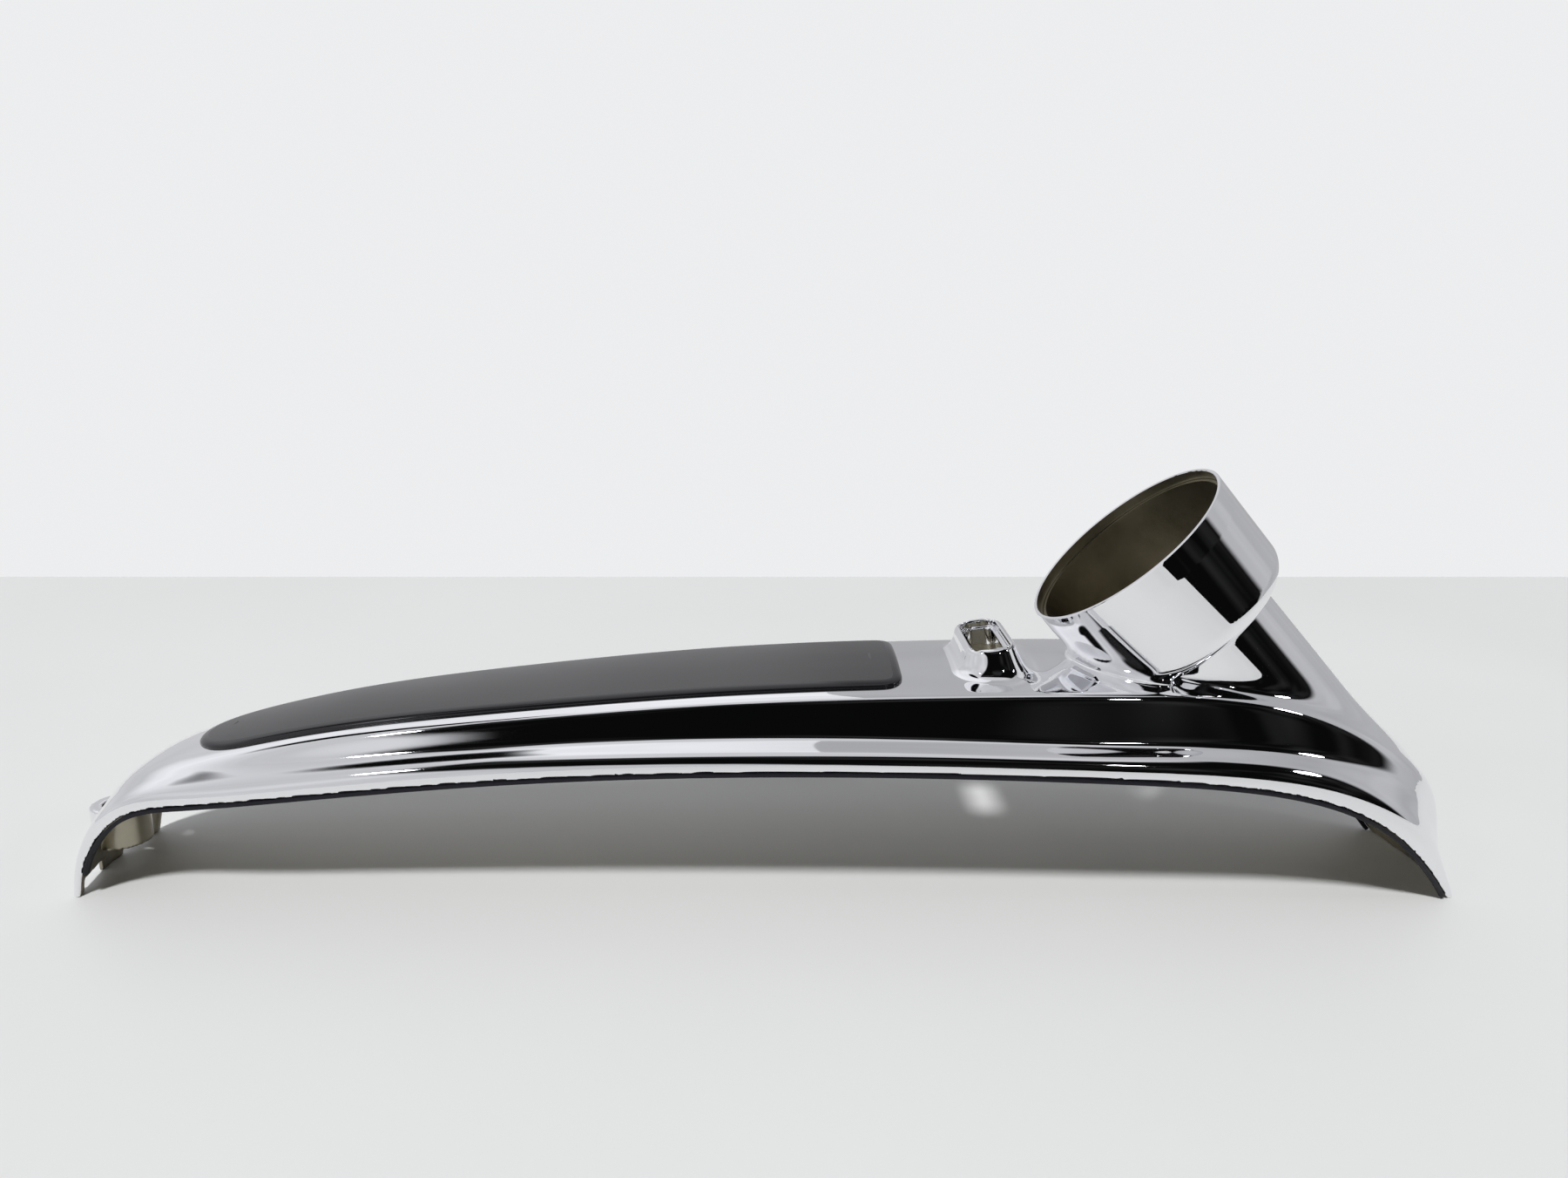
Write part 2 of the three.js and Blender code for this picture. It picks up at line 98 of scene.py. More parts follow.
BOSS_TOP = np.array([105.7, 0.0, 118.2])
BOSS_TILT = math.radians(8)
BOSS_UP = np.array([-math.sin(BOSS_TILT), 0.0, math.cos(BOSS_TILT)])
BOSS_HALF = (10.9, 27.6)
BOSS_DRAFT = 0.36
BOSS_DRAFT_DEPTH = 30
BOSS_TOP_BLEND = 3.5
WINDOW_HALF = (8.6, 25.0)
WINDOW_LEDGE = 2.0
WINDOW_LEDGE_DEPTH = 4.0
WINDOW_CORNERS = (5.0, 4.0)  # above and below the ledge
WINDOW_DEPTH = 40
WINDOW_PLATED_DEPTH = 12

LUG_X = -316.6
LUG_R = 13.1
LUG_HOLE_R = 7.4
LUG_TOP = 32.0
LUG_BOTTOM = 12.0
SCREW_CLEARANCE_R = 8.6
NOTCH_Y = (9.0, 30.0)
NOTCH_HEIGHT = 6.0
NOTCH_END_X = -300

INSERT_TAIL_X = -270.0
INSERT_NOSE_X = 64.7
INSERT_TAIL_HALF = 28.0
INSERT_NOSE_HALF = 36.6
INSERT_TAIL_ROUND = 34.0
INSERT_NOSE_ROUND = 9.0
INSERT_TOP = 2.2

TRIM_HEIGHT = 1.9
TRIM_WIDTH = 3.6
TRIM_LOWEST = 11.0  # height of the arch at which the strips stop at the tail

GRID_STEP = 1.25
GRID_LENGTHS = (674, 72, 206)  # x, half of y, z
BLOCK = 4  # fine cells to a side of one coarse cell

# Reach of the fillets between the casting's members
CUP_NECK_FILLET = 5.0
BODY_CUP_FILLET = 11.0
BODY_BOSS_FILLET = 9.0
EDGE_FILLET = 1.2
LUG_FILLET = 2.0
LUG_EDGE_FILLET = 1.6
CUT_FILLET = 1.0
TABLE_FILLET = 0.8


# ---- Camera ---------------------------------------------------------------------------------------
def add_camera():
    data = bpy.data.cameras.new("camera")
    data.lens = 27.0
    data.sensor_width = 36.0
    camera = bpy.data.objects.new("camera", data)
    camera.location = (0.0107, -0.5397, 0.267)
    camera.rotation_euler = (math.radians(76.74), 0.0, 0.0)
    bpy.context.collection.objects.link(camera)
    bpy.context.scene.camera = camera


# ---- Curves and smooth joins ----------------------------------------------------------------------
class Spline:
    """Cubic curve through values at rising knots, with continuous curvature."""

    def __init__(self, knots, values):
        self.knots = np.asarray(knots, float)
        self.values = np.asarray(values, float)
        count = len(knots)
        gap = np.diff(self.knots)
        matrix = np.eye(count)
        right = np.zeros_like(self.values)
        for i in range(1, count - 1):
            matrix[i, i - 1:i + 2] = gap[i - 1], 2 * (gap[i - 1] + gap[i]), gap[i]
            ahead = (self.values[i + 1] - self.values[i]) / gap[i]
            behind = (self.values[i] - self.values[i - 1]) / gap[i - 1]
            right[i] = 6 * (ahead - behind)
        self.bend = np.linalg.solve(matrix, right)

    def pieces(self, s):
        i = np.clip(np.searchsorted(self.knots, s) - 1, 0, len(self.knots) - 2)
        width = (self.knots[i + 1] - self.knots[i])[:, None]
        b = (s - self.knots[i])[:, None] / width
        return i, width, 1 - b, b

    def at(self, s):
        i, width, a, b = self.pieces(s)
        curved = (a ** 3 - a) * self.bend[i] + (b ** 3 - b) * self.bend[i + 1]
        return a * self.values[i] + b * self.values[i + 1] + curved * width ** 2 / 6

    def slope(self, s):
        i, width, a, b = self.pieces(s)
        curved = (1 - 3 * a ** 2) * self.bend[i] + (3 * b ** 2 - 1) * self.bend[i + 1]
        return (self.values[i + 1] - self.values[i]) / width + curved * width / 6

    def curvature(self, s):
        i, _, a, b = self.pieces(s)
        return a * self.bend[i] + b * self.bend[i + 1]


def smooth_min(a, b, reach):
    """The lesser of a and b, blended where they differ by less than reach."""
    mix = np.maximum(reach - np.abs(a - b), 0) / reach
    return np.minimum(a, b) - mix ** 3 * reach / 6


def smooth_max(a, b, reach):
    return -smooth_min(-a, -b, reach)


def smooth_positive(value, reach):
    """Rises from 0 to value over about reach on each side of 0."""
    return 0.5 * (value + np.sqrt(value ** 2 + reach ** 2))


chords = np.hypot(*np.diff(STATIONS[:, :2], axis=0).T)
knots = np.concatenate([[0], np.cumsum(chords)])
arch = Spline(knots, STATIONS[:, :2])
sizes = Spline(knots, STATIONS[:, 2:])
arch_end = knots[-1]


class ArchLookup:
    """Coarse table of the nearest arch parameter over the x-z plane."""

    def __init__(self, step=4.0):
        self.step = step
        self.low = np.array([-360.0, -40.0])
        self.shape = (181, 66)
        marks = np.linspace(0, arch_end, 500)
        points = arch.at(marks)
        cells = np.stack(np.meshgrid(*[np.arange(n) for n in self.shape], indexing="ij"), -1).reshape(-1, 2)
        places = self.low + step * cells
        gaps = ((places[:, None, :] - points[None]) ** 2).sum(-1)
        self.table = marks[gaps.argmin(1)].reshape(self.shape)

    def guess(self, xz):
        cell = np.rint((xz - self.low) / self.step).astype(int)
        cell = np.clip(cell, 0, np.array(self.shape) - 1)
        return self.table[cell[:, 0], cell[:, 1]]


lookup = ArchLookup()


def along_arch(xz):
    """Arch parameter nearest to each point, and the height above the lower edge line."""
    s = lookup.guess(xz)
    for _ in range(5):
        gap = arch.at(s) - xz
        tangent = arch.slope(s)
        speed = (tangent ** 2).sum(1)
        stiff = np.maximum(speed + (gap * arch.curvature(s)).sum(1), 0.3 * speed)
        s = np.clip(s - np.clip((gap * tangent).sum(1) / stiff, -6, 6), 0, arch_end)
    tangent = arch.slope(s)
    tangent /= np.linalg.norm(tangent, axis=1, keepdims=True)
    gap = xz - arch.at(s)
    return s, gap[:, 1] * tangent[:, 0] - gap[:, 0] * tangent[:, 1]


def on_arch(s, y, h):
    """Points at parameter s, half width y and height h above the lower edge line."""
    place = arch.at(s)
    tangent = arch.slope(s)
    tangent /= np.linalg.norm(tangent, axis=1, keepdims=True)
    return np.stack([place[:, 0] - h * tangent[:, 1], y, place[:, 1] + h * tangent[:, 0]], -1)


# ---- The casting as a field: negative in the metal -------------------------------------------------
def line_side(y, h, y0, h0, y1, h1):
    """Distance above the line from (y0, h0) out and down to (y1, h1)."""
    length = np.hypot(y1 - y0, h1 - h0)
    return ((y - y0) * (h0 - h1) + (h - h0) * (y1 - y0)) / length


def body_field(y, h, size):
    """Hat section: crowned raised top, sloping sides, flange and a short skirt."""
    edge, skirt, foot, foot_h, shoulder, shoulder_h, crown = size.T
    bow = (crown - shoulder_h) / shoulder ** 2
    top = (h - crown + bow * y ** 2) / np.sqrt(1 + (2 * bow * y) ** 2)
    foot = edge - FLANGE_SPREAD * (edge - foot)
    side = line_side(y, h, shoulder, shoulder_h, foot, foot_h)
    raised = smooth_max(top, side, SHOULDER_BLEND)
    fall = (foot_h - skirt) / (edge - foot)
    flange = (h - foot_h + fall * smooth_positive(y - foot, FOOT_BEND)) / np.sqrt(1 + fall ** 2)
    return smooth_max(smooth_min(raised, flange, FOOT_BLEND), y - edge, SKIRT_BLEND_SHARE * skirt)


def in_cup_axes(p):
    """Radius from the cup's axis and depth below its rim."""
    gap = p - RIM_CENTRE
    depth = -gap @ CUP_OUT
    return np.linalg.norm(gap + depth[:, None] * CUP_OUT, axis=1), depth


def round_min_corner(a, b, radius):
    """Inside of both a < 0 and b < 0, with a rounded outer corner."""
    outside = np.hypot(np.maximum(a + radius, 0), np.maximum(b + radius, 0))
    return np.minimum(np.maximum(a, b), -radius) + outside


def bowl_field(r, depth):
    """Outside of the cup's bowl, open upwards."""
    wall = r - CUP_OUTER_R + CUP_DRAFT * depth
    floor = depth - CUP_BOTTOM_DEPTH
    return round_min_corner(wall, floor, CUP_EDGE_R)


def rounded_box(x, y, half_x, half_y, radius):
    a = np.abs(x) - half_x + radius
    b = np.abs(y) - half_y + radius
    outside = np.hypot(np.maximum(a, 0), np.maximum(b, 0))
    return outside + np.minimum(np.maximum(a, b), 0) - radius


def in_boss_axes(p):
    gap = p - BOSS_TOP
    depth = -gap @ BOSS_UP
    across = gap[:, 0] * BOSS_UP[2] - gap[:, 2] * BOSS_UP[0]
    return across, gap[:, 1], depth


def boss_field(x, y, depth):
    draft = BOSS_DRAFT * np.clip(depth, 0, BOSS_DRAFT_DEPTH)
    half_x = BOSS_HALF[0] + draft
    wall = rounded_box(x, y, half_x, BOSS_HALF[1] + draft, half_x - 1.0) / np.hypot(1, BOSS_DRAFT)
    return smooth_max(wall, -depth, BOSS_TOP_BLEND)


def window_field(x, y, depth):
    upper = np.maximum(rounded_box(x, y, *WINDOW_HALF, WINDOW_CORNERS[0]), depth - WINDOW_LEDGE_DEPTH)
    inner = (WINDOW_HALF[0] - WINDOW_LEDGE, WINDOW_HALF[1] - WINDOW_LEDGE)
    lower = np.maximum(rounded_box(x, y, *inner, WINDOW_CORNERS[1]), depth - WINDOW_DEPTH)
    return np.minimum(upper, lower)


def outer_fields(p):
    """Outside of the whole casting, of its body and of its bowl alone, with the arch height."""
    y = np.abs(p[:, 1])
    s, h = along_arch(p[:, [0, 2]])
    body = body_field(y, h, sizes.at(s))
    r, depth = in_cup_axes(p)
    bowl = np.maximum(bowl_field(r, depth), -depth)
    neck = np.maximum(np.maximum(r - NECK_R, depth - NECK_END_DEPTH), NECK_START_DEPTH - depth)
    boss = boss_field(*in_boss_axes(p))
    cup = smooth_min(bowl, neck, CUP_NECK_FILLET)
    outer = smooth_min(smooth_min(body, cup, BODY_CUP_FILLET), boss, BODY_BOSS_FILLET)
    return outer, body, bowl_field(r, depth), h


def hollow_field(p, body, bowl):
    """The tunnel under the body, the cup's seat, its wire hole and neck passage, and the window."""
    r, depth = in_cup_axes(p)
    seat = round_min_corner(r - CUP_SEAT_R, depth - CUP_FLOOR_DEPTH, SEAT_EDGE_R)
    under = np.maximum(body + WALL, -bowl)
    passage_ends = np.maximum(CUP_BOTTOM_DEPTH + 1 - depth, depth - NECK_END_DEPTH)
    passage = np.maximum(r - NECK_INNER_R, passage_ends)
    wires = np.maximum(r - WIRE_HOLE_R, np.abs(depth - CUP_WEB_DEPTH) - CUP_WEB_REACH)
    window = window_field(*in_boss_axes(p))
    hollow = smooth_min(smooth_min(under, passage, 1.5), np.minimum(seat, wires), 0.6)
    return smooth_min(hollow, window, 0.8)


def notch_field(p):
    """The short cut-outs in the tail wall's lower edge."""
    across = np.abs(np.abs(p[:, 1]) - sum(NOTCH_Y) / 2) - (NOTCH_Y[1] - NOTCH_Y[0]) / 2
    return np.maximum(np.maximum(across, p[:, 2] - NOTCH_HEIGHT), p[:, 0] - NOTCH_END_X)


def casting(p):
    """The whole casting: its members, less the hollows, with the tail lug and its bolt hole."""
    outer, body, bowl, h = outer_fields(p)
    hollow = hollow_field(p, body, bowl)
    shell = smooth_max(smooth_max(outer, -hollow, EDGE_FILLET), METAL_BOTTOM - h, EDGE_FILLET)

    from_bolt = np.hypot(p[:, 0] - LUG_X, p[:, 1])
    z = p[:, 2]
    lug = smooth_max(from_bolt - LUG_R, np.maximum(z - LUG_TOP, LUG_BOTTOM - z), LUG_EDGE_FILLET)
    screw = np.maximum(from_bolt - SCREW_CLEARANCE_R, LUG_TOP - z)
    metal = smooth_min(smooth_max(shell, -screw, CUT_FILLET), lug, LUG_FILLET)
    metal = smooth_max(metal, LUG_HOLE_R - from_bolt, EDGE_FILLET)
    metal = smooth_max(metal, -notch_field(p), CUT_FILLET)
    return smooth_max(metal, -z, TABLE_FILLET)


def gradient(field, p, reach=0.04):
    steps = []
    for axis in range(3):
        shift = np.zeros(3)
        shift[axis] = reach
        steps.append((field(p + shift) - field(p - shift)) / (2 * reach))
    return np.stack(steps, -1)


# ---- Meshing the field ----------------------------------------------------------------------------
def in_chunks(field, p, size=200000):
    return np.concatenate([field(p[i:i + size]) for i in range(0, len(p), size)])


def sample_half(field, low, counts, step):
    """Field on a grid over y > 0, worked out finely only near the surface."""
    coarse_counts = [-(-n // BLOCK) + 1 for n in counts]
    axes = [low[k] + step * BLOCK * np.arange(coarse_counts[k]) for k in range(3)]
    coarse = np.stack(np.meshgrid(*axes, indexing="ij"), -1).reshape(-1, 3)
    coarse_values = in_chunks(field, coarse).reshape(coarse_counts)
    near = np.abs(coarse_values) < 1.75 * BLOCK * step
    wide = near.copy()
    for axis in range(3):
        ahead = np.roll(wide, 1, axis)
        behind = np.roll(wide, -1, axis)
        wide = wide | ahead | behind
    index = [np.arange(n) // BLOCK for n in counts]
    values = coarse_values[np.ix_(*index)]
    wanted = np.argwhere(wide[np.ix_(*index)])
    values[tuple(wanted.T)] = in_chunks(field, low + step * wanted)
    return values


def surface_net(values, low, step):
    """Vertices, one to a crossed cell, and quads, one to a crossed grid edge, facing out."""
    inside = values < 0
    corner_steps = [np.array(c) for c in np.ndindex(2, 2, 2)]
    cells_shape = np.array(values.shape) - 1
    count = np.zeros(cells_shape, int)
    for c in corner_steps:
        count += inside[tuple(slice(c[k], c[k] + cells_shape[k]) for k in range(3))]
    cells = np.argwhere((count > 0) & (count < 8))
    index = np.full(cells_shape, -1)
    index[tuple(cells.T)] = np.arange(len(cells))
    total = np.zeros((len(cells), 3))
    crossings = np.zeros(len(cells))
    for a in corner_steps:
        for axis in range(3):
            if a[axis]:
                continue
            b = a.copy()
            b[axis] = 1
            va = values[tuple((cells + a).T)]
            vb = values[tuple((cells + b).T)]
            crossed = (va < 0) != (vb < 0)
            share = np.where(crossed, va / np.where(crossed, va - vb, 1), 0)
            total += crossed[:, None] * (a + share[:, None] * (b - a))
            crossings += crossed
    points = low + step * (cells + total / crossings[:, None])
    quads = []
    for axis in range(3):
        i, j = (axis + 1) % 3, (axis + 2) % 3
        near = [slice(1, -1)] * 3
        near[axis] = slice(0, -1)
        far = list(near)
        far[axis] = slice(1, None)
        change = inside[tuple(near)].astype(int) - inside[tuple(far)].astype(int)
        for sign in (1, -1):
            at = np.argwhere(change == sign)
            at[:, i] += 1
            at[:, j] += 1
            ring = []
            for di, dj in ((0, 0), (1, 0), (1, 1), (0, 1))[::sign]:
                cell = at.copy()
                cell[:, i] -= 1 - di
                cell[:, j] -= 1 - dj
                ring.append(index[tuple(cell.T)])
            quads.append(np.stack(ring, -1))
    return points, np.concatenate(quads)


def relaxed(points, quads, field, rounds=2):
    """Evens the mesh out along the surface, then puts each vertex back on it."""
    edges = np.concatenate([quads[:, [0, 1]], quads[:, [1, 2]], quads[:, [2, 3]], quads[:, [3, 0]]])
    ends = np.concatenate([edges[:, 0], edges[:, 1]])
    others = np.concatenate([edges[:, 1], edges[:, 0]])
    weight = np.bincount(ends, minlength=len(points))[:, None]
    for turn in range(rounds + 1):
        if turn < rounds:
            total = np.stack([np.bincount(ends, points[others, k], len(points)) for k in range(3)], -1)
            points = 0.5 * points + 0.5 * total / weight
        for _ in range(2):
            value = in_chunks(field, points)
            slope = in_chunks(lambda p: gradient(field, p), points)
            length = np.maximum((slope ** 2).sum(1), 0.25)
            shift = np.clip(value / length, -1.0, 1.0)
            points = points - shift[:, None] * slope
    return points


def unit(vectors):
    return vectors / np.maximum(np.linalg.norm(vectors, axis=1, keepdims=True), 1e-9)


def new_piece(name, points, faces, normals, materials, face_slots, slot, *nodes):
    """Makes a smooth-shaded mesh object, from millimetres, that stands for CAD nodes."""
    mesh = bpy.data.meshes.new(name)
    mesh.from_pydata((points * MM).tolist(), [], faces)
    mesh.update()
    mesh.polygons.foreach_set("use_smooth", np.ones(len(mesh.polygons), bool))
    for material in materials:
        mesh.materials.append(material)
    mesh.polygons.foreach_set("material_index", np.asarray(face_slots, np.int32))
    if normals is not None:
        mesh.normals_split_custom_set_from_vertices(normals.tolist())
    obj = bpy.data.objects.new(name, mesh)
    bpy.context.collection.objects.link(obj)
    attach(obj, "root")
    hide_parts(*nodes)


# ---- Console shell --------------------------------------------------------------------------------
def field_mesh():
    step = GRID_STEP
    low = np.array([-336.0, 0.5 * step, -3.0])
    counts = [int(length / step) // BLOCK * BLOCK for length in GRID_LENGTHS]
    half = sample_half(casting, low, counts, step)
    values = np.concatenate([half[:, ::-1], half], axis=1)
    full_low = low.copy()
    full_low[1] = low[1] - step * counts[1]
    return surface_net(values, full_low, step)


def cut_at_rim(points, quads):
    """Removes the cup above the cutting depth and returns the mesh with its two open loops."""
    mesh = bmesh.new()
    vertices = [mesh.verts.new(p) for p in points]
    for quad in quads:
        mesh.faces.new([vertices[i] for i in quad])
    mesh.verts.index_update()
    r, depth = in_cup_axes(points)
    near = (r < 60) & (depth < 30) & (depth > -8)
    geometry = [f for f in mesh.faces if all(near[v.index] for v in f.verts)]
    geometry += list({e for f in geometry for e in f.edges}) + list({v for f in geometry for v in f.verts})
    plane = RIM_CENTRE - RIM_CUT_DEPTH * CUP_OUT
    bmesh.ops.bisect_plane(mesh, geom=geometry, dist=1e-5, plane_co=plane, plane_no=CUP_OUT, clear_outer=True)
    mesh.verts.index_update()
    places = np.array([v.co[:] for v in mesh.verts])
    faces = [[v.index for v in f.verts] for f in mesh.faces]
    border = {v.index for e in mesh.edges if len(e.link_faces) == 1 for v in e.verts}
    mesh.free()
    border = np.array(sorted(border))
    r, _ = in_cup_axes(places[border])
    middle = (CUP_SEAT_R + CUP_OUTER_R) / 2
    return places, faces, border[r > middle], border[r <= middle]


def ring_angle(p):
    across = np.cross([0.0, 1.0, 0.0], CUP_OUT)
    return np.arctan2(p[:, 1], (p - RIM_CENTRE) @ across)


def zipped(points, one, other):
    """Triangles between two loops round the cup's axis."""
    loops = []
    for loop in (one, other):
        angle = ring_angle(points[loop])
        order = np.argsort(angle)
        loops.append((np.asarray(loop)[order], angle[order]))
    (a, angle_a), (b, angle_b) = loops
    faces = []
    i = j = 0
    while i < len(a) or j < len(b):
        next_a = angle_a[i + 1] if i + 1 < len(a) else angle_a[0] + 2 * math.pi + (i + 1 - len(a))
        next_b = angle_b[j + 1] if j + 1 < len(b) else angle_b[0] + 2 * math.pi + (j + 1 - len(b))
        first, second = int(a[i % len(a)]), int(b[j % len(b)])
        if j >= len(b) or (i < len(a) and next_a <= next_b):
            faces.append([first, int(a[(i + 1) % len(a)]), second])
            i += 1
        else:
            faces.append([first, int(b[(j + 1) % len(b)]), second])
            j += 1
    return faces


def arc(centre_r, centre_d, radius, start, end, steps):
    turn = np.linspace(math.radians(start), math.radians(end), steps + 1)
    return [(centre_r + radius * math.cos(t), centre_d - radius * math.sin(t)) for t in turn]


def rim_profile():
    """(radius, depth) up the outside, over the thin lip, and down past the gauge seat."""
    outer = [(CUP_OUTER_R - CUP_DRAFT * d, d) for d in (11.0, 9.0, 7.0, 5.0, 3.0, 1.5)]
    lip = arc(CUP_OUTER_R - 0.45, 0.45, 0.45, 0, 90, 4) + arc(CUP_BORE_R + 0.35, 0.35, 0.35, 90, 180, 3)
    seat = [(CUP_BORE_R, 1.2), (CUP_BORE_R, 3.0), (CUP_BORE_R, 4.5)]
    seat += arc(CUP_BORE_R - 0.3, CUP_SEAT_DEPTH - 0.3, 0.3, 0, -90, 2)
    seat += arc(CUP_SEAT_R + 0.3, CUP_SEAT_DEPTH + 0.3, 0.3, 90, 180, 2)
    return np.array(outer + lip + seat + [(CUP_SEAT_R, 6.5), (CUP_SEAT_R, 8.5), (CUP_SEAT_R, 11.0)])


def turned_rim(around):
    """Rings of points and outward normals for the cup's lip."""
    profile = rim_profile()
    along = np.gradient(profile, axis=0)
    along /= np.linalg.norm(along, axis=1, keepdims=True)
    across = np.cross([0.0, 1.0, 0.0], CUP_OUT)
    turn = np.linspace(-math.pi, math.pi, around, endpoint=False)
    spoke = np.cos(turn)[:, None] * across + np.sin(turn)[:, None] * np.array([0.0, 1.0, 0.0])
    points, normals = [], []
    for (r, depth), (dr, dd) in zip(profile, along):
        points.append(RIM_CENTRE + r * spoke - depth * CUP_OUT)
        normals.append(-dd * spoke - dr * -CUP_OUT)
    return np.array(points), np.array(normals)


def facing_out(points, faces, normals):
    """Turns over each face whose winding disagrees with its vertices' normals."""
    result = []
    for face in faces:
        p = points[face]
        flat = np.cross(p[1] - p[0], p[2] - p[0])
        result.append(face if flat @ normals[face].sum(0) >= 0 else face[::-1])
    return result


def with_rim(points, faces, normals, outer_loop, inner_loop):
    """The cut mesh joined to the turned rim."""
    around = 200
    rim, rim_normals = turned_rim(around)
    base = len(points)
    rings = len(rim)
    points = np.concatenate([points, rim.reshape(-1, 3)])
    normals = np.concatenate([normals, unit(rim_normals.reshape(-1, 3))])
    ring = base + np.arange(rings * around).reshape(rings, around)
    lip = []
    for k in range(rings - 1):
        for i in range(around):
            j = (i + 1) % around
            lip.append([int(ring[k, i]), int(ring[k, j]), int(ring[k + 1, j]), int(ring[k + 1, i])])
    lip += zipped(points, outer_loop, ring[0]) + zipped(points, inner_loop, ring[-1])
    return points, faces + facing_out(points, lip, normals), normals


def unplated(centres):
    """True for the faces inside the casting, which stay bare."""
    outer = in_chunks(lambda p: outer_fields(p)[0], centres)
    r, depth = in_cup_axes(centres)
    in_bore = (depth < RIM_CUT_DEPTH) & (depth > 0.6) & (r < CUP_BORE_R + 0.3)
    across, along, below = in_boss_axes(centres)
    in_window = (np.abs(across) < WINDOW_HALF[0] + 1) & (np.abs(along) < WINDOW_HALF[1] + 1)
    in_window &= np.abs(below) < WINDOW_PLATED_DEPTH
    return ((outer < -1.1) | in_bore) & ~in_window


def build_shell(chrome, cast):
    points, quads = field_mesh()
    points = relaxed(points, quads, casting)
    points, faces, outer_loop, inner_loop = cut_at_rim(points, quads)
    normals = unit(in_chunks(lambda p: gradient(casting, p), points))
    points, faces, normals = with_rim(points, faces, normals, outer_loop, inner_loop)
    bare = unplated(np.array([points[f].mean(0) for f in faces]))
    new_piece("console_shell_skin", points, faces, normals, [chrome, cast], bare, "chrome_plate",
              "console_shell")


# ---- Inlay ----------------------------------------------------------------------------------------
def inlay_half_width(x):
    length = INSERT_NOSE_X - INSERT_TAIL_X
    from_tail = x - INSERT_TAIL_X
    rise = np.sin(from_tail / length * math.pi / 2)
    taper = INSERT_TAIL_HALF + (INSERT_NOSE_HALF - INSERT_TAIL_HALF) * rise
    tail = np.clip(from_tail / INSERT_TAIL_ROUND, 0, 1)
    nose = np.clip((INSERT_NOSE_X - x) / INSERT_NOSE_ROUND, 0, 1)
    tail_round = np.sqrt(np.maximum(1 - (1 - tail) ** 2.4, 0))
    nose_inset = INSERT_NOSE_ROUND * (1 - np.sqrt(np.maximum(1 - (1 - nose) ** 2, 0)))
    return np.maximum(taper * tail_round - nose_inset, 0)


def even_loop(loop, count):
    """The closed outline again, with equal steps."""
    closed = np.concatenate([loop, loop[:1]])
    run = np.concatenate([[0], np.cumsum(np.hypot(*np.diff(closed, axis=0).T))])
    marks = np.linspace(0, run[-1], count, endpoint=False)
    return np.stack([np.interp(marks, run, closed[:, k]) for k in range(2)], -1)


def softened(loop, turns):
    for _ in range(turns):
        loop = 0.5 * loop + 0.25 * (np.roll(loop, 1, 0) + np.roll(loop, -1, 0))
    return loop


def on_crown(x, y, rise):
    """Points on the crown that stand over ridge place x, raised by rise."""
    marks = np.linspace(0, arch_end, 4000)
    ridge = on_arch(marks, 0 * marks, sizes.at(marks)[:, 6])[:, 0]
    rising = np.maximum.accumulate(ridge)
    s = np.interp(x, rising, marks)
    size = sizes.at(s)
    shoulder, shoulder_h, crown = size[:, 4], size[:, 5], size[:, 6]
    return on_arch(s, y, crown - (crown - shoulder_h) * (y / shoulder) ** 2 + rise)


def build_inlay(satin, edge_gloss_painted_shade):
    share = (1 - np.cos(np.linspace(0, math.pi, 400))) / 2
    x = INSERT_TAIL_X + share * (INSERT_NOSE_X - INSERT_TAIL_X)
    half = inlay_half_width(x)
    outline = np.concatenate([np.stack([x, -half], -1), np.stack([x, half], -1)[::-1][1:-1]])
    count = 520
    outline = softened(even_loop(outline, count), 6)
    ahead = np.roll(outline, -1, 0) - np.roll(outline, 1, 0)
    ahead /= np.linalg.norm(ahead, axis=1, keepdims=True)
    inward = np.stack([-ahead[:, 1], ahead[:, 0]], -1)
    # inwards from the outline, and rise above the crown
    edge = [(0.0, 0.06), (0.0, 0.4), (0.06, 0.75), (0.25, 1.1), (0.6, 1.45), (1.1, 1.75), (1.7, 1.98),
            (2.4, 2.12), (3.2, 2.19), (4.2, INSERT_TOP)]
    loops = [(outline + inset * inward, rise) for inset, rise in edge]
    last = loops[-1][0]
    for pull in (0.12, 0.28, 0.45, 0.62, 0.8, 0.93):
        loop = last.copy()
        loop[:, 1] *= 1 - pull
        reach = 26 * pull
        loop[:, 0] = np.clip(loop[:, 0], last[:, 0].min() + reach * 0.5, last[:, 0].max() - reach * 0.4)
        loops.append((softened(loop, 3), INSERT_TOP))
    rings = [on_crown(loop[:, 0], loop[:, 1], rise) for loop, rise in loops]
    points = np.concatenate(rings)
    faces, slots = [], []
    for k in range(len(rings) - 1):
        for i in range(count):
            j = (i + 1) % count
            faces.append([k * count + i, k * count + j, (k + 1) * count + j, (k + 1) * count + i])
            # Slot 1, the rounded edge, takes the edge material whose darker colour is painted shade.
            slots.append(0 if k >= len(edge) - 1 else 1)
    top = (len(rings) - 1) * count
    for i in range(count // 2 - 1):
        j = count - 1 - i
        faces.append([top + i, top + i + 1, top + j - 1, top + j])
        slots.append(0)
        faces.append([j, j - 1, i + 1, i])
        slots.append(1)
    new_piece("inlay_top", points, faces, None, [satin, edge_gloss_painted_shade], slots, "inlay_plastic",
              "trim_insert", "insert_adhesive")


# ---- Rubber edges ---------------------------------------------------------------------------------
def trim_outline():
    """Rounded strip section: (sideways from the outer face inwards, height)."""
    corner = 0.45
    places = []
    inner, outer = -TRIM_WIDTH + corner, -corner
    low, high = corner, TRIM_HEIGHT - corner
    for y, h, start in ((outer, high, 90), (outer, low, 0), (inner, low, -90), (inner, high, -180)):
        for step in range(4):
            turn = math.radians(start - 30 * step)
            places.append((y + corner * math.cos(turn), h + corner * math.sin(turn)))
    return np.array(places)


